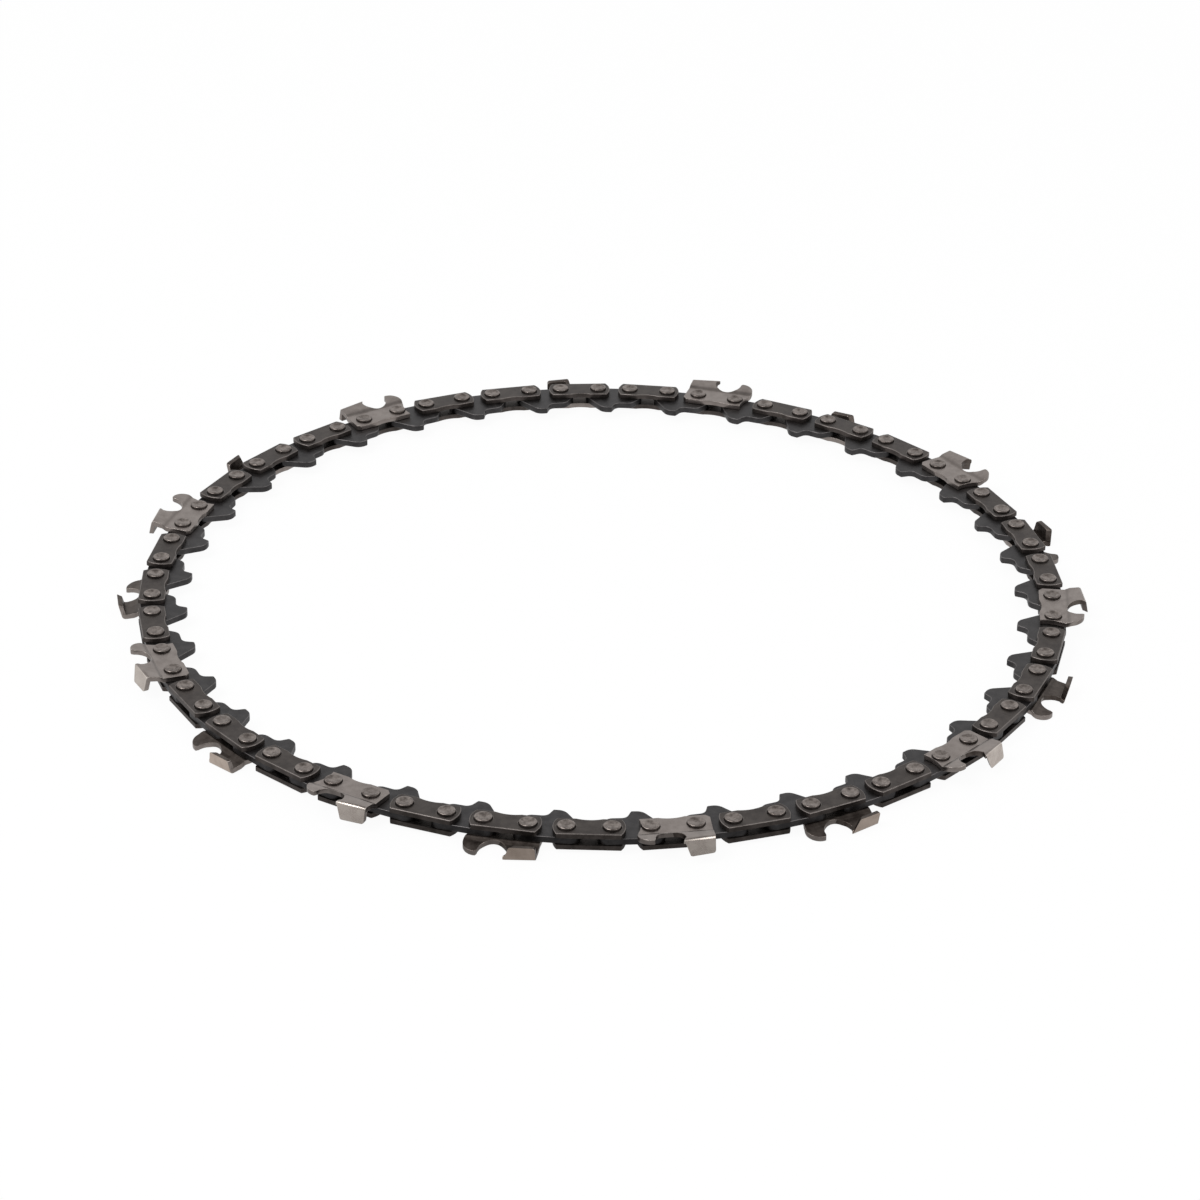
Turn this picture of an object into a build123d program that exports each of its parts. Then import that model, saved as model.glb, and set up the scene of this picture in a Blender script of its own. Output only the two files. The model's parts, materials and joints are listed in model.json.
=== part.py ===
from build123d import *

import os
from math import atan2, cos, degrees, pi, radians, sin

# Saw chain loop: a full-complement chain of 37 drive links, lying flat as a round loop.
# Right-hand cutters are on the upper side, left-hand cutters on the under side, and every
# second side position holds a pair of plain tie straps. The tangs point into the loop.
#
# Frame: +Z is up, Z = 0 is the surface the loop lies on, and the loop's centre is the origin.
# Each piece is drawn at the middle of its two rivets, with X along the running direction,
# Y out of the loop and Z = 0 on the chain's centre plane, and is then set in its place.

# Chain layout (mm, degrees)
link_count = 37
chain_pitch = 6.35
rivet_offset = 0.55
first_pair_angle = 113.1

# Stock and clearances
drive_thick = 1.1
strap_thick = 0.85
face_gap = 0.04
rivet_dia = 2.8
rivet_proud = 0.4
riveted_gap = 0.03
pivot_gap = 0.08

# Tie strap
strap_end = 2.1
strap_end_bulge = 0.65
strap_half_height = 2.2
waist_depth = 0.35
waist_radius = 6.0

# Drive link
drive_end = 2.2
drive_outer = 2.0
drive_corner_radius = 1.5
tang_depth = 5.75
tang_tip_lead = 0.3
tang_tip_trail = 2.0
leading_tip_radius = 0.3
trailing_tip_radius = 1.8
hook_radius = 1.2
shoulder_depth = 3.9
shoulder_reach = 0.5
shoulder_radius = 1.5
slope_start_depth = 1.5

# Cutter link
flare_start = 2.1
flare_rise = 0.85
bend_radius = 1.0
heel_end = 2.4
top_lead = 2.75
top_trail = 2.2
top_height = 5.5
top_relief = 0.75
top_thick = 0.8
top_past_centre = 0.5
top_edge_slant = 0.95
top_corner_radius = 0.4
hook_undercut = 0.5
hook_depth = 0.85
gullet_floor = 2.35
gullet_radius = 2.3
gullet_lead = -0.05
gauge_height = 5.05
gauge_rear = 0.15
gauge_front = 2.4
gauge_front_height = 2.4
gauge_crown = 0.9
fold_radius = 0.5

# Worked out from the sizes above: the rivets of a side link stand further apart than the
# chain's pitch, and those of a drive link closer together
strap_rivet_step = chain_pitch + rivet_offset
drive_rivet_step = chain_pitch - rivet_offset
strap_rivet = strap_rivet_step / 2
drive_rivet = drive_rivet_step / 2
pitch_angle = 2 * pi / link_count
strap_half_angle = atan2(
    strap_rivet_step * sin(pitch_angle / 2),
    drive_rivet_step + strap_rivet_step * cos(pitch_angle / 2),
)
drive_half_angle = pitch_angle / 2 - strap_half_angle
rivet_circle = strap_rivet / sin(strap_half_angle)
strap_base = drive_thick / 2 + face_gap
strap_top = strap_base + strap_thick
rivet_half = strap_top + rivet_proud
cutter_top = strap_top + flare_rise

# Rivet: a plain pin, proud of both side links
with BuildPart() as rivet:
    Cylinder(rivet_dia / 2, 2 * rivet_half)

# Tie strap: bulged ends, a straight outer edge and a waist on the inner edge
with BuildPart() as tie_strap:
    with BuildSketch(Plane.XY.offset(strap_base)):
        with BuildLine():
            end = strap_rivet + strap_end
            corner = end - strap_end_bulge
            Line((-corner, strap_half_height), (corner, strap_half_height))
            ThreePointArc((corner, strap_half_height), (end, 0), (corner, -strap_half_height))
            Line((corner, -strap_half_height), (-corner, -strap_half_height))
            ThreePointArc((-corner, -strap_half_height), (-end, 0), (-corner, strap_half_height))
        make_face()
        with Locations((0, waist_depth - strap_half_height - waist_radius)):
            Circle(waist_radius, mode=Mode.SUBTRACT)
        with Locations((-strap_rivet, 0), (strap_rivet, 0)):
            Circle(rivet_dia / 2 + riveted_gap, mode=Mode.SUBTRACT)
    extrude(amount=strap_thick)

# Drive link: rounded ends on the rivets and a tang with a hooked leading side
with BuildPart() as drive_link:
    with BuildSketch(Plane.XY.offset(-drive_thick / 2)):
        with BuildLine():
            end = drive_rivet + drive_end
            outline = [
                ((-end, drive_outer), drive_corner_radius),
                ((-end, -slope_start_depth), drive_corner_radius),
                ((-tang_tip_trail, -tang_depth), trailing_tip_radius),
                ((-tang_tip_lead, -tang_depth), leading_tip_radius),
                ((shoulder_reach, -shoulder_depth), hook_radius),
                ((drive_rivet + shoulder_reach, -shoulder_depth), shoulder_radius),
                ((end, -slope_start_depth), drive_corner_radius),
                ((end, drive_outer), drive_corner_radius),
            ]
            FilletPolyline(
                *[point for point, _ in outline],
                radius=[size for _, size in outline],
                close=True,
            )
        make_face()
        with Locations((-drive_rivet, 0), (drive_rivet, 0)):
            Circle(rivet_dia / 2 + pivot_gap, mode=Mode.SUBTRACT)
    extrude(amount=drive_thick)

# Side plate of a right-hand cutter: a flared strip stamped to outline, with the round gullet
# between the depth gauge at the front and the heel at the rear
nose = strap_rivet + strap_end
heel = strap_rivet + heel_end
lead = top_lead - strap_rivet
tail = -strap_rivet - top_trail
tail_height = top_height - top_relief
gullet_x = strap_rivet + gullet_lead - gullet_radius
gullet_y = gullet_floor + gullet_radius
hook_lean = hook_undercut / hook_depth
gauge_tip = (strap_rivet + gauge_rear, gauge_height)
gauge_foot = (strap_rivet + gauge_front, gauge_front_height)
flare_slope = flare_rise / (top_height - flare_start)
with BuildPart() as side_plate:
    with BuildSketch(Plane.YZ):
        with BuildLine():
            Polyline(
                (-strap_half_height, strap_base),
                (flare_start, strap_base),
                (top_height, strap_base + flare_rise),
                (top_height, strap_top + flare_rise),
                (flare_start, strap_top),
                (-strap_half_height, strap_top),
                close=True,
            )
        make_face()
        fillet(vertices().filter_by(lambda corner: corner.X == flare_start), bend_radius)
    extrude(amount=2 * heel, both=True)
    with BuildSketch(Plane.XY):
        with BuildLine():
            front = (nose, strap_half_height - strap_end_bulge)
            Polyline(
                (nose - strap_end_bulge, -strap_half_height),
                (strap_end_bulge - heel, -strap_half_height),
                (-heel, strap_end_bulge - strap_half_height),
                (tail, tail_height),
                (lead, top_height),
                (lead - hook_undercut, top_height - hook_depth),
                (gullet_x, gullet_y),
                (gullet_x + gullet_radius, gullet_y),
                gauge_tip,
            )
            SagittaArc(gauge_tip, gauge_foot, gauge_crown)
            Line(gauge_foot, front)
            SagittaArc(front, (nose - strap_end_bulge, -strap_half_height), -strap_end_bulge / 2)
        make_face()
        with Locations((gullet_x, gullet_y)):
            Circle(gullet_radius, mode=Mode.SUBTRACT)
        # the steel behind the hooked edge stays, however wide the gullet is
        Polygon(
            (tail, tail_height),
            (tail, gullet_floor),
            (lead - hook_lean * (top_height - gullet_floor), gullet_floor),
            (lead, top_height),
            align=None,
        )
        with Locations((0, waist_depth - strap_half_height - waist_radius)):
            Circle(waist_radius, mode=Mode.SUBTRACT)
        with Locations((-strap_rivet, 0), (strap_rivet, 0)):
            Circle(rivet_dia / 2 + riveted_gap, mode=Mode.SUBTRACT)
    extrude(amount=2 * cutter_top, mode=Mode.INTERSECT)

# Right-hand cutter: the top plate stands square to the flare and slopes down to the rear. It is
# filed to a slanted, hooked cutting edge and joins the side plate along a rounded fold
top_width = cutter_top + top_past_centre
top_lean = flare_slope * top_width
with BuildPart() as right_cutter:
    with BuildSketch(Plane.XY.offset(cutter_top)):
        Polygon(
            (tail, tail_height),
            (tail, tail_height - top_thick),
            (lead, top_height - top_thick),
            (lead, top_height),
            align=None,
        )
    fold_path = Vector(0, top_lean, -top_width)
    extrude(amount=fold_path.length, dir=fold_path)
    with BuildSketch(Plane.YZ):
        over = top_height + flare_rise
        Polygon(
            (flare_start, strap_top),
            (over, strap_top + flare_slope * (over - flare_start)),
            (flare_start, strap_top + flare_slope * (over - flare_start)),
            align=None,
        )
    extrude(amount=2 * heel, both=True, mode=Mode.SUBTRACT)
    with BuildSketch(Plane.XY.offset(cutter_top)):
        Polygon(
            (lead - hook_lean * 2 * top_thick, top_height - 2 * top_thick),
            (lead + hook_lean * top_thick, top_height + top_thick),
            (heel, top_height + top_thick),
            (heel, top_height - 2 * top_thick),
            align=None,
        )
    file_path = Vector(-top_edge_slant, top_lean, -top_width)
    extrude(amount=file_path.length, dir=file_path, mode=Mode.SUBTRACT)
    free_middle = top_lean - top_thick / 2
    rear_corner = (tail, tail_height + free_middle, -top_past_centre)
    front_corner = (lead - top_edge_slant, top_height + free_middle, -top_past_centre)
    free_corners = [edges().sort_by_distance(spot)[0] for spot in (rear_corner, front_corner)]
    fillet(free_corners, top_corner_radius)
    add(side_plate.part)
    fold_y = (top_height + tail_height) / 2
    fold_z = strap_top + flare_slope * (fold_y - flare_start)
    fold_edge = edges().sort_by_distance(((lead + tail) / 2, fold_y, fold_z))[0]
    fillet(fold_edge, fold_radius)

# Left-hand cutter: the mirror image of the right-hand one across the centre plane
with BuildPart() as left_cutter:
    mirror(right_cutter.part, about=Plane.XY)

# Lower tie strap: the same strap on the under side
with BuildPart() as lower_strap:
    mirror(tie_strap.part, about=Plane.XY)

# The loop lies on the folds of its left-hand cutters
centre_height = right_cutter.part.bounding_box().max.Z


def pair_place(number):
    """Where side pair `number` sits, counted counter-clockwise from the joining place."""
    turn = radians(first_pair_angle) + (number - 1) * pitch_angle
    reach = rivet_circle * cos(strap_half_angle)
    return Location((reach * cos(turn), reach * sin(turn), centre_height), (0, 0, degrees(turn) - 90))


def drive_place(number):
    """Where drive link `number` sits: between pair `number` and the next one."""
    turn = radians(first_pair_angle) + (number - 0.5) * pitch_angle
    reach = rivet_circle * cos(drive_half_angle)
    return Location((reach * cos(turn), reach * sin(turn), centre_height), (0, 0, degrees(turn) - 90))


# The loop: every odd pair is two tie straps, and the even ones are a right-hand and a
# left-hand cutter in turn, each opposite a tie strap
os.makedirs("parts", exist_ok=True)
rivet_spots = [(-strap_rivet, 0), (strap_rivet, 0)]
for number in range(1, link_count + 1):
    right_hand = number % 4 == 2
    left_hand = number % 4 == 0
    with BuildPart() as chain_link:
        with Locations(drive_place(number)):
            add(drive_link.part)
        with Locations(pair_place(number)):
            if not right_hand:
                add(tie_strap.part)
            if not left_hand:
                add(lower_strap.part)
            with Locations(rivet_spots):
                add(rivet.part)
    chain_link.part.label = f"chain_link_{number:02d}"
    export_step(chain_link.part, f"parts/chain_link_{number:02d}.step")

    if right_hand or left_hand:
        side = "right" if right_hand else "left"
        with BuildPart() as cutter:
            with Locations(pair_place(number)):
                add(right_cutter.part if right_hand else left_cutter.part)
        cutter.part.label = f"{side}_cutter_{number:02d}"
        export_step(cutter.part, f"parts/{side}_cutter_{number:02d}.step")
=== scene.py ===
# %% [markdown]
# # A saw chain loop, lying flat
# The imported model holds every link, strap, cutter and rivet at its real size and place.
# This lesson dresses it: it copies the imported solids, rounds their edges as stamping and
# tumbling do, spins proper rivet heads, and gives each kind of steel its own finish.

import json
from math import atan2, cos, pi, radians, sin

import bmesh
import bpy
from mathutils import Matrix, Vector

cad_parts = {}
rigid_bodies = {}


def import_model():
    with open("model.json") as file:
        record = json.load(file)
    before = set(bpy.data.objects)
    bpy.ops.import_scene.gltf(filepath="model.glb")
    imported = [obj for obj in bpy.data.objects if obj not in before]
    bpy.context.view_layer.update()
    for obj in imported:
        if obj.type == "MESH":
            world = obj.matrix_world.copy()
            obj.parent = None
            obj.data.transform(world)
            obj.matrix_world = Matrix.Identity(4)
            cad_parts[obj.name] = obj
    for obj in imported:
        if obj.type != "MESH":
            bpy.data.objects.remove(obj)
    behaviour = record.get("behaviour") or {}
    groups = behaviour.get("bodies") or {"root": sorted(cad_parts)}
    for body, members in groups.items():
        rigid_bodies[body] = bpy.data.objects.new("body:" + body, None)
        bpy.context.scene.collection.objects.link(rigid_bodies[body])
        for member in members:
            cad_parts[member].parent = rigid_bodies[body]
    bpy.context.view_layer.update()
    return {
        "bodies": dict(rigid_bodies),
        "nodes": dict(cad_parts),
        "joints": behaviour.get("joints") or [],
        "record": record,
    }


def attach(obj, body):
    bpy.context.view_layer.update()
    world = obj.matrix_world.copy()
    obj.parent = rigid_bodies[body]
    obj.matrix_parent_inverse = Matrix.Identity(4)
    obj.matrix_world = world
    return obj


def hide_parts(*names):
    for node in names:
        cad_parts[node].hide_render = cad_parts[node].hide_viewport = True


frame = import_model()
MM = 0.001

# %% [markdown]
# ## Where the links are
# The loop is regular: each link is the first one turned about the loop's upright axis. Each
# link could be drawn in its own place. It is simpler to model a piece once and to turn its
# copies into place, so this cell measures how far apart the links are.

# %% Measure the loop
link_count = len(frame["bodies"])
link_turn = 2 * pi / link_count
centre_height = frame["joints"][0]["pos_m"][2]
print("links", link_count, "centre plane at", round(centre_height / MM, 3), "mm")


def turned_to(number, modelled_on=1):
    """The turn that takes a piece modelled on one link to another link."""
    return Matrix.Rotation((number - modelled_on) * link_turn, 4, "Z")


# %% [markdown]
# ## Camera
# The loop was seen from a little under 30 degrees above the table through a long lens. A long
# lens far away keeps the near and far sides of the loop almost the same size. The camera could
# be aimed by a constraint, but three axes written out also give it its slight roll.

# %% Set the camera
LENS = 117.3
SENSOR = 36.0
CAMERA_DISTANCE = 655 * MM
CAMERA_ELEVATION = radians(29.13)
CAMERA_ROLL = radians(0.77)
CAMERA_TARGET = Vector((-0.44 * MM, 1.42 * MM, 0.1 * MM))
NEAREST_SEEN = 0.01
FARTHEST_SEEN = 20

camera_data = bpy.data.cameras.new("camera")
camera_data.lens = LENS
camera_data.sensor_width = SENSOR
camera_data.clip_start = NEAREST_SEEN
camera_data.clip_end = FARTHEST_SEEN
camera = bpy.data.objects.new("camera", camera_data)
bpy.context.scene.collection.objects.link(camera)
bpy.context.scene.camera = camera

back = Vector((0, -cos(CAMERA_ELEVATION), sin(CAMERA_ELEVATION)))
level_right = Vector((1, 0, 0))
level_up = back.cross(level_right)
right = level_right * cos(CAMERA_ROLL) + level_up * sin(CAMERA_ROLL)
up = back.cross(right)
axes = Matrix((right, up, back)).transposed().to_4x4()
camera.matrix_world = Matrix.Translation(CAMERA_TARGET + back * CAMERA_DISTANCE) @ axes
print("camera at", [round(x, 3) for x in camera.location])

# %% [markdown]
# ## Writing shader sums in Python
# A finish is a tree of nodes, which is drawn by hand in the shader editor or built in code. The
# class below wraps an output socket, so that an expression such as `1 - mask * 0.5` adds the
# Math nodes that it needs and still reads as a sum. Every other node comes from one method that
# takes the node's type, its settings and the values or links of its sockets.

# %% Node helpers
NOISE_ROUGHNESS = 0.6


class Wire:
    """An output socket. Sums on it add Math nodes to its tree."""

    def __init__(self, tree, socket):
        self.tree = tree
        self.socket = socket

    def maths(self, operation, first, second):
        return self.tree.node("ShaderNodeMath", {"operation": operation}, {0: first, 1: second})

    def __add__(self, other):
        return self.maths("ADD", self, other)

    def __sub__(self, other):
        return self.maths("SUBTRACT", self, other)

    def __rsub__(self, other):
        return self.maths("SUBTRACT", other, self)

    def __mul__(self, other):
        return self.maths("MULTIPLY", self, other)

    __radd__ = __add__
    __rmul__ = __mul__


class Tree:
    """The nodes of one finish, of the floor or of the world."""

    def __init__(self, owner):
        owner.use_nodes = True
        self.nodes = owner.node_tree.nodes
        self.links = owner.node_tree.links
        self.nodes.clear()

    def node(self, kind, settings=None, sockets=None, output=0):
        made = self.nodes.new(kind)
        for name, value in (settings or {}).items():
            if name == "stops":
                ramp = made.color_ramp.elements
                while len(ramp) < len(value):
                    ramp.new(1.0)
                for stop, (place, grey) in zip(ramp, value):
                    stop.position = place
                    stop.color = (grey, grey, grey, 1)
            else:
                setattr(made, name, value)
        for name, value in (sockets or {}).items():
            if isinstance(value, Wire):
                self.links.new(value.socket, made.inputs[name])
            else:
                made.inputs[name].default_value = value
        return Wire(self, made.outputs[output]) if made.outputs else None

    def ramp(self, value, *stops):
        return self.node("ShaderNodeValToRGB", {"stops": stops}, {"Fac": value})

    def noise(self, place, size, detail):
        sockets = {"Vector": place, "Scale": 1 / size, "Detail": detail, "Roughness": NOISE_ROUGHNESS}
        return self.node("ShaderNodeTexNoise", {}, sockets)

    def mix(self, share, first, second):
        settings = {"data_type": "RGBA"}
        return self.node("ShaderNodeMix", settings, {0: share, 6: first, 7: second}, output=2)


# %% [markdown]
# ## Floor
# The chain lies on a plain white floor. The camera sees it as plain white with a trace of the
# chain's shadow, because most of the paint is swapped for a white glow on camera rays. More
# light would also turn the floor white, but it would bleach the chain. Steel mirrors the floor,
# so glossy rays see a glow of their own, dimmer round a spot at the front of the loop. That
# makes the front top plates darker than those at the sides.

# %% Lay the floor
WHITE = (1, 1, 1, 1)
FLOOR_SIZE = 12.0
FLOOR_PAINT = (0.9, 0.9, 0.9, 1)
FLOOR_WHITE = 0.95
FLOOR_MIRRORED = 0.78
FLOOR_FRONT = 0.4
DIM_SPOT = (0, -0.085, 0)
DIM_REACH = 0.1

bpy.ops.object.select_all(action="DESELECT")
bpy.ops.mesh.primitive_plane_add(size=FLOOR_SIZE)
floor = bpy.context.object
floor.name = "floor"
floor_paint = bpy.data.materials.new("white_floor")
tree = Tree(floor_paint)
seen = tree.node("ShaderNodeLightPath")
mirrored = Wire(tree, seen.socket.node.outputs["Is Glossy Ray"])
paint = tree.node("ShaderNodeBsdfDiffuse", {}, {"Color": FLOOR_PAINT})
place = tree.node("ShaderNodeTexCoord", {}, {}, output=3)
away = tree.node("ShaderNodeVectorMath", {"operation": "DISTANCE"}, {0: place, 1: DIM_SPOT}, output=1)
# The dim spot is a painted shadow in the floor's mirror image, which darkens the front top plates.
grey = tree.ramp(away * (1 / DIM_REACH), (0.3, FLOOR_FRONT), (0.75, FLOOR_MIRRORED))
grey_glow = tree.node("ShaderNodeEmission", {}, {"Color": grey, "Strength": 1.0})
white_glow = tree.node("ShaderNodeEmission", {}, {"Color": WHITE, "Strength": 1.0})
lit = tree.node("ShaderNodeMixShader", {}, {0: mirrored, 1: paint, 2: grey_glow})
shown = tree.node("ShaderNodeMixShader", {}, {0: seen * FLOOR_WHITE, 1: lit, 2: white_glow})
tree.node("ShaderNodeOutputMaterial", {}, {"Surface": shown})
floor.data.materials.append(floor_paint)
print("floor", FLOOR_SIZE, "m wide")

# %% [markdown]
# ## Sky and lamps
# Bare steel has little colour of its own and shows the room it stands in. White cards round the
# chain could be that room. Here the world itself is shaded by direction, which gives the same
# mirror image with nothing in the camera's way: bright all round, dimmer overhead, and dim low
# down behind the camera. The camera sees plain white. Two soft boxes give light and shade.

# %% Light the room
FRONT_SHADE = 0.78

world = bpy.data.worlds.new("studio")
bpy.context.scene.world = world
tree = Tree(world)
way = tree.node("ShaderNodeSeparateXYZ", {}, {"Vector": tree.node("ShaderNodeTexCoord")}, output=2)
depth = Wire(tree, way.socket.node.outputs["Y"])
wall = tree.ramp(way, (0.0, 0.7), (0.3, 0.92), (0.7, 0.85), (0.95, 0.4))
in_front = tree.ramp(depth * 0.5 + 0.5, (0.05, 1.0), (0.45, 0.0))
near_floor = tree.ramp(way, (0.15, 1.0), (0.45, 0.35))
seen = tree.node("ShaderNodeLightPath")
shown = tree.mix(seen, wall * (1 - in_front * near_floor * FRONT_SHADE), WHITE)
lit = tree.node("ShaderNodeBackground", {}, {"Color": shown, "Strength": 1.0})
tree.node("ShaderNodeOutputWorld", {}, {"Surface": lit})


def soft_lamp(name, place, size, watts):
    """A square soft box that faces the loop."""
    lamp_data = bpy.data.lights.new(name, "AREA")
    lamp_data.size = size
    lamp_data.energy = watts
    lamp = bpy.data.objects.new(name, lamp_data)
    bpy.context.scene.collection.objects.link(lamp)
    lamp.location = place
    lamp.rotation_euler = (-Vector(place)).to_track_quat("-Z", "Y").to_euler()
    print(name, watts, "W")


soft_lamp("key_lamp", (-0.7, -0.5, 1.1), size=0.7, watts=9)
soft_lamp("fill_lamp", (0.9, -0.7, 0.7), size=0.8, watts=4)

# %% [markdown]
# ## Picture
# Blender can bend the colours of a picture as film does. The Standard view shows each colour as
# it is written, and white stays white, so that is the one for a chain on a white ground.

# %% Choose the view
bpy.context.scene.view_settings.view_transform = "Standard"
print("view", bpy.context.scene.view_settings.view_transform)

# %% [markdown]
# ## Steel finishes
# The straps and drive links are blued: heated or dipped until a thin dark brown-black skin
# forms. The skin is never even, so two greys are clouded together by noise, which needs no
# picture and no unwrapping. It rubs thin along the rounded edges, which the attribute `rubbed`
# marks on each piece. Along a crease an attribute marks a band that is darkened as painted shade.
# One function makes all the finishes, so that they differ only in colour and polish.

# %% Mix the finishes
CLOUD_SIZE = 1.6 * MM
RIVET_CLOUD_SIZE = 0.7 * MM
GRAIN_SIZE = 0.12 * MM
GRAIN_DEPTH = 0.004 * MM
CLOUD_ROUGH = 0.25
GRAIN_ROUGH = 0.15
CREASE_SHADE = 0.3


def steel(name, dark, light, rubbed, rough, cloud_size=CLOUD_SIZE):
    """A worked steel surface: clouded colour, fine grain and rubbed edges."""
    material = bpy.data.materials.new(name)
    tree = Tree(material)
    place = tree.node("ShaderNodeTexCoord", {}, {}, output=3)
    edge = tree.node("ShaderNodeAttribute", {"attribute_name": "rubbed"}, {}, output=2)
    crease = tree.node("ShaderNodeAttribute", {"attribute_name": "creased"}, {}, output=2)
    cloud = tree.noise(place, cloud_size, detail=4.0)
    grain = tree.noise(place, GRAIN_SIZE, detail=3.0)
    body = tree.mix(tree.ramp(cloud, (0.35, 0.0), (0.65, 1.0)), (*dark, 1), (*light, 1))
    # Painted shade: along the crease band the colour moves towards a darker copy of the dark grey.
    crease_shade_colour = [part * CREASE_SHADE for part in dark]
    body = tree.mix(crease * (0.2 + cloud * 0.4), body, (*crease_shade_colour, 1))
    worn = edge * tree.ramp(grain + cloud, (0.75, 0.2), (1.0, 1.0))
    colour = tree.mix(worn, body, (*rubbed, 1))
    roughness = rough + (cloud - 0.5) * CLOUD_ROUGH + (grain - 0.5) * GRAIN_ROUGH
    bump = tree.node("ShaderNodeBump", {}, {"Strength": 1.0, "Distance": GRAIN_DEPTH, "Height": grain})
    sockets = {"Base Color": colour, "Roughness": roughness, "Metallic": 1.0, "Normal": bump}
    surface = tree.node("ShaderNodeBsdfPrincipled", {}, sockets)
    tree.node("ShaderNodeOutputMaterial", {}, {"Surface": surface})
    print("finish", name)
    return material


strap_steel = steel("blued_strap", (0.056, 0.048, 0.045), (0.095, 0.083, 0.076), (0.2, 0.18, 0.17), 0.42)
drive_steel = steel("blued_drive", (0.046, 0.044, 0.045), (0.076, 0.073, 0.074), (0.16, 0.15, 0.15), 0.42)
rivet_steel = steel(
    "spun_rivet", (0.135, 0.114, 0.103), (0.32, 0.282, 0.26), (0.42, 0.38, 0.35), 0.36, RIVET_CLOUD_SIZE
)
# Painted shade: a darker blued steel for upright walls, in place of the shade and dark reflections they
# catch.
wall_shade_steel = steel("blued_wall", (0.055, 0.047, 0.043), (0.1, 0.086, 0.08), (0.17, 0.15, 0.14), 0.45)
cutter_steel = steel("plated_cutter", (0.23, 0.2, 0.185), (0.31, 0.275, 0.255), (0.42, 0.38, 0.35), 0.34)
# The filed end and the inside of a cutter have no plating. On the inside this dark brown is also painted
# shade, for the shadow and dark reflections there.
inner_steel = steel("cutter_inside", (0.06, 0.048, 0.042), (0.13, 0.11, 0.098), (0.25, 0.22, 0.2), 0.42)
top_steel = steel("bright_top_plate", (0.5, 0.44, 0.4), (0.62, 0.56, 0.51), (0.72, 0.67, 0.62), 0.3)
# Painted shade: a darker, browner copy of the top plate steel for the left-hand cutters, whose lower
# plates mirror the dimmer floor.
left_top_shade_steel = steel("browned_top_plate", (0.48, 0.39, 0.33), (0.59, 0.49, 0.42), (0.68, 0.6, 0.53), 0.32)

# %% [markdown]
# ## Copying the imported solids
# The stamped plates could be drawn anew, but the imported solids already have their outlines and
# holes, so copies of them are finished instead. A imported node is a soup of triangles. Its copy is
# merged into a closed skin, its flat faces are cleared of the lines between triangles, and it is
# split into the pieces that it holds. A rivet reaches far out on both sides of the chain's centre
# plane, a strap lies on one side of it, and the drive link is what is left.

# %% Take link 1 apart
MERGE_DISTANCE = 0.001 * MM
FLAT_WITHIN = radians(1)
RIVET_REACH = 1.4 * MM


def pick_only(piece):
    """Leaves one piece selected and active."""
    bpy.ops.object.select_all(action="DESELECT")
    piece.select_set(True)
    bpy.context.view_layer.objects.active = piece


def new_piece(name, mesh):
    """A new object at the origin for a mesh."""
    piece = bpy.data.objects.new(name, mesh)
    bpy.context.scene.collection.objects.link(piece)
    return piece


def packed_solids(node):
    """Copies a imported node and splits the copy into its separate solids."""
    before = set(bpy.data.objects)
    pick_only(new_piece("copy", frame["nodes"][node].data.copy()))
    bpy.ops.object.mode_set(mode="EDIT")
    bpy.ops.mesh.select_all(action="SELECT")
    bpy.ops.mesh.remove_doubles(threshold=MERGE_DISTANCE)
    bpy.ops.mesh.dissolve_limited(angle_limit=FLAT_WITHIN)
    bpy.ops.mesh.separate(type="LOOSE")
    bpy.ops.object.mode_set(mode="OBJECT")
    solids = [piece for piece in bpy.data.objects if piece not in before]
    for piece in solids:
        piece.data.materials.clear()
    return solids


def heights(piece):
    """The lowest and highest point of a piece, above the chain's centre plane."""
    levels = [vertex.co.z - centre_height for vertex in piece.data.vertices]
    return min(levels), max(levels)


def reaches_out(piece, reach):
    """Whether a piece reaches out of the centre plane that far, on both sides."""
    lowest, highest = heights(piece)
    return lowest < -reach and highest > reach


link_solids = packed_solids("chain_link_01")
rivets = [piece for piece in link_solids if reaches_out(piece, RIVET_REACH)]
straps = [piece for piece in link_solids if not reaches_out(piece, 0)]
drive_link = [piece for piece in link_solids if piece not in rivets + straps][0]
upper_strap = max(straps, key=lambda piece: heights(piece)[1])
lower_strap = min(straps, key=lambda piece: heights(piece)[1])
print("solids on link 1:", len(link_solids), "rivets", len(rivets), "straps", len(straps))

# %% [markdown]
# ## Rounded edges
# No edge of a stamped and tumbled part is sharp, and its rounded edges are what catches the
# light. A bevel modifier would round every edge alike. The bevel operator rounds just the edges
# that are picked, and the narrow faces that it leaves are then marked as rubbed. Upright walls
# get a darker skin, painted shade for the shade and dark reflections that they catch.

# %% Edge helpers
SHARP_OVER = radians(30)
RUBBED_OVER = radians(25)
RUBBED_WIDTH = 0.6
SMOOTH_UNDER = radians(40)
UPRIGHT_UNDER = 0.5


def mark_rubbed(piece, width):
    """Marks the narrow, well turned faces of the rounded edges, where the finish is rubbed."""
    skin = bmesh.new()
    skin.from_mesh(piece.data)
    layer = skin.faces.layers.float.new("rubbed")
    for face in skin.faces:
        narrow = 2 * face.calc_area() / face.calc_perimeter() < RUBBED_WIDTH * width
        turned = max(edge.calc_face_angle(0) for edge in face.edges) > RUBBED_OVER
        face[layer] = float(narrow and turned)
    skin.to_mesh(piece.data)
    skin.free()


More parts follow.
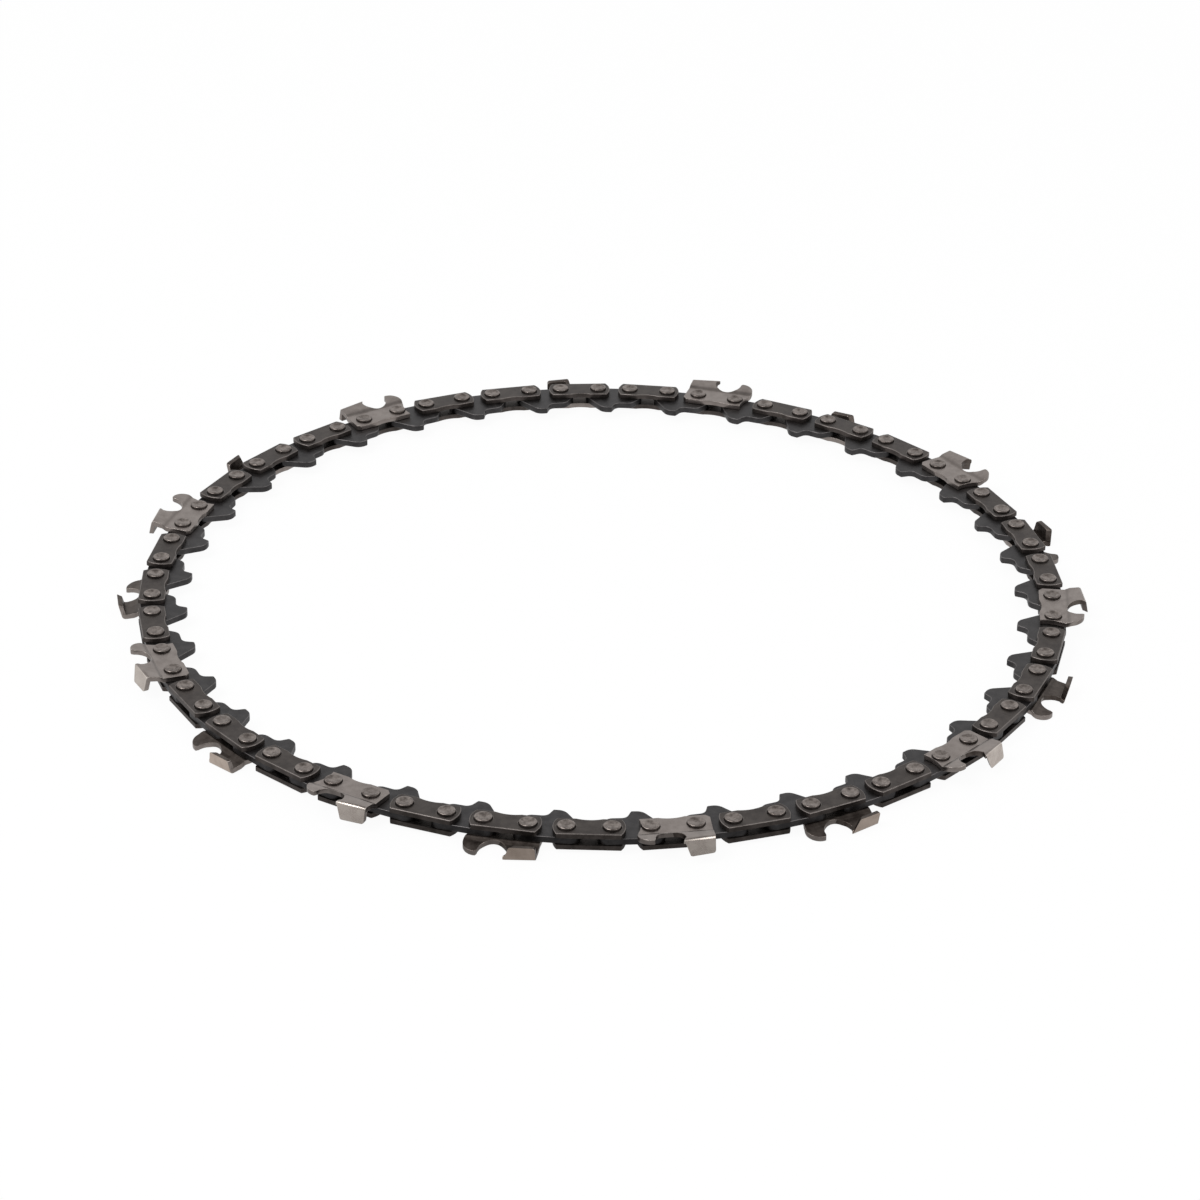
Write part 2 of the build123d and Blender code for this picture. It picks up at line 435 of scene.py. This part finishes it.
def round_edges(piece, width, wanted, segments=3):
    """Rounds the sharp outside edges that the function `wanted` picks by their middle."""
    pick_only(piece)
    bpy.ops.object.mode_set(mode="EDIT")
    bpy.ops.mesh.select_all(action="DESELECT")
    skin = bmesh.from_edit_mesh(piece.data)
    for edge in skin.edges:
        middle = (edge.verts[0].co + edge.verts[1].co) / 2
        sharp = edge.is_convex and edge.calc_face_angle(0) > SHARP_OVER
        edge.select_set(sharp and wanted(middle))
    bmesh.update_edit_mesh(piece.data)
    bpy.ops.mesh.bevel(offset=width, segments=segments, affect="EDGES", loop_slide=False)
    bpy.ops.object.mode_set(mode="OBJECT")
    mark_rubbed(piece, width)


def smooth(piece):
    """Smooth shading over rounded edges, with the flat faces kept flat."""
    pick_only(piece)
    bpy.ops.object.shade_smooth_by_angle(angle=SMOOTH_UNDER)
    weighted = piece.modifiers.new("flat_faces_first", "WEIGHTED_NORMAL")
    weighted.keep_sharp = True
    bpy.ops.object.modifier_apply(modifier=weighted.name)


def paint_wall_shade(piece):
    """Gives the upright walls of a piece a darker skin, as painted shade."""
    piece.data.materials.append(wall_shade_steel)
    for face in piece.data.polygons:
        face.material_index = int(abs(face.normal.z) < UPRIGHT_UNDER)


# %% [markdown]
# ## Rivets
# A rivet starts as a plain pin. Its end is spun under a forming tool, which turns the rim
# over into a smooth ring round a shallow dimple. Its profile could be spun round the axis. Here a
# circle on the centre plane is pulled up ring by ring, so that each line of the list below is one
# ring that can be seen on the head, and a mirror makes the other half.

# %% Model one rivet
RIVET_SIDES = 28
rivet_top = heights(rivets[0])[1]
rivet_middles = []
for piece in rivets:
    corners = [vertex.co for vertex in piece.data.vertices]
    rivet_middles.append(sum(corners, Vector()) / len(corners))
rivet_radius = max((vertex.co - rivet_middles[0]).to_2d().length for vertex in rivets[0].data.vertices)
strap_top = heights(upper_strap)[1]

# Each ring is a share of the pin's radius, and a height above the centre plane.
head_rings = [
    (1.0, strap_top),
    (1.0, rivet_top - 0.17 * MM),
    (0.975, rivet_top - 0.09 * MM),
    (0.91, rivet_top - 0.03 * MM),
    (0.82, rivet_top),
    (0.72, rivet_top - 0.015 * MM),
    (0.6, rivet_top - 0.09 * MM),
    (0.47, rivet_top - 0.17 * MM),
    (0.3, rivet_top - 0.2 * MM),
    (0.14, rivet_top - 0.205 * MM),
]

bpy.ops.object.select_all(action="DESELECT")
bpy.ops.mesh.primitive_circle_add(vertices=RIVET_SIDES, radius=rivet_radius)
rivet = bpy.context.object
rivet.name = "rivet"
bpy.ops.object.mode_set(mode="EDIT")
bpy.ops.mesh.select_all(action="SELECT")
last_radius = 1.0
last_height = 0.0
for radius, height in head_rings:
    bpy.ops.mesh.extrude_edges_move(TRANSFORM_OT_translate={"value": (0, 0, height - last_height)})
    grow = radius / last_radius
    bpy.ops.transform.resize(value=(grow, grow, 1), center_override=(0, 0, height))
    last_radius = radius
    last_height = height
bpy.ops.mesh.edge_face_add()
bpy.ops.object.mode_set(mode="OBJECT")
halves = rivet.modifiers.new("other_half", "MIRROR")
halves.use_axis = (False, False, True)
halves.merge_threshold = MERGE_DISTANCE
bpy.ops.object.modifier_apply(modifier=halves.name)
bpy.ops.object.mode_set(mode="EDIT")
bpy.ops.mesh.select_all(action="SELECT")
bpy.ops.mesh.normals_make_consistent(inside=False)
bpy.ops.object.mode_set(mode="OBJECT")
smooth(rivet)
rivet.data.materials.append(rivet_steel)
paint_wall_shade(rivet)
print("rivet radius", round(rivet_radius / MM, 2), "faces", len(rivet.data.polygons))

# %% [markdown]
# ## Tie straps and drive links
# Both are stamped from strip. The punch leaves the edges of a strap's outer face rounded, and
# its inner face lies against the drive link, so only the outer half of a strap is bevelled.
# Tumbling in stone chips rounds the drive link on both sides.

# %% Finish the straps and the drive link
STRAP_ROUND = 0.14 * MM
STRAP_OUTER_HALF = 0.4 * MM
DRIVE_ROUND = 0.1 * MM
strap_middle_height = strap_top - STRAP_OUTER_HALF

round_edges(upper_strap, STRAP_ROUND, lambda at: at.z > centre_height + strap_middle_height)
round_edges(lower_strap, STRAP_ROUND, lambda at: at.z < centre_height - strap_middle_height)
for strap in straps:
    smooth(strap)
    strap.data.materials.append(strap_steel)
    paint_wall_shade(strap)
round_edges(drive_link, DRIVE_ROUND, lambda at: True)
smooth(drive_link)
drive_link.data.materials.append(drive_steel)
print("strap faces", len(upper_strap.data.polygons), "drive link faces", len(drive_link.data.polygons))

# %% [markdown]
# ## Cutters
# A cutter is one stamping with its top folded over. Its flare leaves the side plate at a crease.
# A crease could be painted on, but it shows best as a real bend: the copy is cut along three
# lines, and what lies beyond the first is lifted, most of all at the third. A band of painted shade
# darkens the crease as well. The plated outside of the top plate is the brightest steel on the
# chain; on the left-hand cutters it is a darker, browner copy, painted shade for the dimmer floor
# that they mirror. The side plate is a satin grey. The inside and the filed end, which have no
# plating, are a dark brown, and on the inside that brown is painted shade as well. All reaches are
# measured outwards from the line of the rivets.

# %% Finish the cutters
CUTTER_ROUND = 0.07 * MM
TOP_PLATE_FOOT = 3.8 * MM
GULLET_MIDDLE = 1.1 * MM
CREASE_FOOT = 2.1 * MM
CREASE_MIDDLE = 2.5 * MM
CREASE_HEAD = 2.9 * MM
CREASE_STEP = 0.2 * MM
FLARE_TOP = 5.0 * MM
FACING = 0.6
FACING_GULLET = 0.3
RIGHT_MASTER = 2
LEFT_MASTER = 4
pair_middle = (rivet_middles[0] + rivet_middles[1]) / 2
rivet_line = pair_middle.to_2d().length


def pair_outward(number):
    """The direction out of the loop at a pair of side links."""
    start = atan2(pair_middle.y, pair_middle.x)
    return Matrix.Rotation(start + (number - 1) * link_turn, 3, "Z") @ Vector((1, 0, 0))


def press_crease(cutter, outward, side):
    """Makes the flare rise steeply out of a crease, and more gently from there to its top."""
    pick_only(cutter)
    bpy.ops.object.mode_set(mode="EDIT")
    for reach in (CREASE_FOOT, CREASE_MIDDLE, CREASE_HEAD):
        bpy.ops.mesh.select_all(action="SELECT")
        bpy.ops.mesh.bisect(plane_co=outward * (rivet_line + reach), plane_no=outward)
    bpy.ops.object.mode_set(mode="OBJECT")
    for vertex in cutter.data.vertices:
        reach = vertex.co.dot(outward) - rivet_line
        rising = (reach - CREASE_FOOT) / (CREASE_HEAD - CREASE_FOOT)
        falling = (FLARE_TOP - reach) / (FLARE_TOP - CREASE_HEAD)
        vertex.co.z += side * CREASE_STEP * min(max(0, rising), falling)


def paint_crease_shade(cutter, outward):
    """Marks the band of painted shade along the crease, strongest along its middle."""
    band = cutter.data.attributes.new("creased", "FLOAT", "POINT")
    for vertex in cutter.data.vertices:
        reach = vertex.co.dot(outward) - rivet_line
        rising = (reach - CREASE_FOOT) / (CREASE_MIDDLE - CREASE_FOOT)
        falling = (CREASE_HEAD - reach) / (CREASE_HEAD - CREASE_MIDDLE)
        band.data[vertex.index].value = max(0, min(rising, falling))


def dressed_cutter(node, number, top_finish):
    """Rounds a copy of a cutter, with a finish of its own for the top plate and a dark inside."""
    cutter = packed_solids(node)[0]
    side = 1 if heights(cutter)[1] > strap_top else -1
    outward = pair_outward(number)
    press_crease(cutter, outward, side)
    round_edges(cutter, CUTTER_ROUND, lambda at: True, segments=2)
    smooth(cutter)
    paint_crease_shade(cutter, outward)
    for finish in (cutter_steel, top_finish, inner_steel):
        cutter.data.materials.append(finish)
    running = Vector((outward.y, -outward.x, 0))
    for face in cutter.data.polygons:
        reach = face.center.dot(outward) - rivet_line
        along = face.center.dot(running)
        on_top = reach > TOP_PLATE_FOOT and along < 0
        in_gullet = reach > CREASE_FOOT and along < GULLET_MIDDLE
        filed = in_gullet and face.normal.dot(running) > FACING_GULLET
        faces_out = face.normal.dot(outward)
        faces_drive = face.normal.z * side < -FACING
        if on_top and faces_out > FACING:
            face.material_index = 1
        # The filed end and the inside get the dark unplated steel, which on the inside is painted shade
        # as well.
        elif filed or faces_drive or (on_top and faces_out < -FACING):
            face.material_index = 2
    return cutter


right_cutter = dressed_cutter(f"right_cutter_{RIGHT_MASTER:02d}", RIGHT_MASTER, top_steel)
# The left-hand cutters get the darker copy of the top plate steel, as painted shade.
left_cutter = dressed_cutter(f"left_cutter_{LEFT_MASTER:02d}", LEFT_MASTER, left_top_shade_steel)
print("cutter faces", len(right_cutter.data.polygons))

# %% [markdown]
# ## Laying out the loop
# On the bench a chain is riveted together link by link. An array modifier could lay out the
# loop, but as one piece that can't flex. So every link gets its own copies, turned into place and
# riding on that link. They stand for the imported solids, which stay hidden.


# %% Copy the pieces round the loop
def copy_of(masters, name, turn):
    """One new piece made of copies of the master pieces, turned into place."""
    skin = bmesh.new()
    for master in masters:
        skin.from_mesh(master.data)
    mesh = bpy.data.meshes.new(name)
    skin.to_mesh(mesh)
    skin.free()
    for material in masters[0].data.materials:
        mesh.materials.append(material)
    mesh.transform(turn)
    return new_piece(name, mesh)


def set_on_link(piece, body, node):
    """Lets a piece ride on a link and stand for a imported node."""
    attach(piece, body)
    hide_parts(node)


rivet_pair = []
for middle in rivet_middles:
    seat = copy_of([rivet], "rivet_seat", Matrix.Translation((middle.x, middle.y, centre_height)))
    rivet_pair.append(seat)

for body, members in frame["record"]["behaviour"]["bodies"].items():
    number = int(body[-2:])
    turn = turned_to(number)
    link_node = [member for member in members if member.startswith("chain_link")][0]
    cutter_nodes = [member for member in members if "cutter" in member]
    sides = [upper_strap, lower_strap]
    for node in cutter_nodes:
        if node.startswith("right"):
            sides = [lower_strap]
            from_master = turned_to(number, RIGHT_MASTER)
            cutter = copy_of([right_cutter], f"right_cutter_piece_{number:02d}", from_master)
        else:
            sides = [upper_strap]
            from_master = turned_to(number, LEFT_MASTER)
            cutter = copy_of([left_cutter], f"left_cutter_piece_{number:02d}", from_master)
        set_on_link(cutter, body, node)
    set_on_link(copy_of([drive_link], f"drive_link_{number:02d}", turn), body, link_node)
    set_on_link(copy_of(sides, f"tie_straps_{number:02d}", turn), body, link_node)
    set_on_link(copy_of(rivet_pair, f"rivets_{number:02d}", turn), body, link_node)

for master in [rivet, drive_link, right_cutter, left_cutter, *straps, *rivets, *rivet_pair]:
    bpy.data.objects.remove(master)
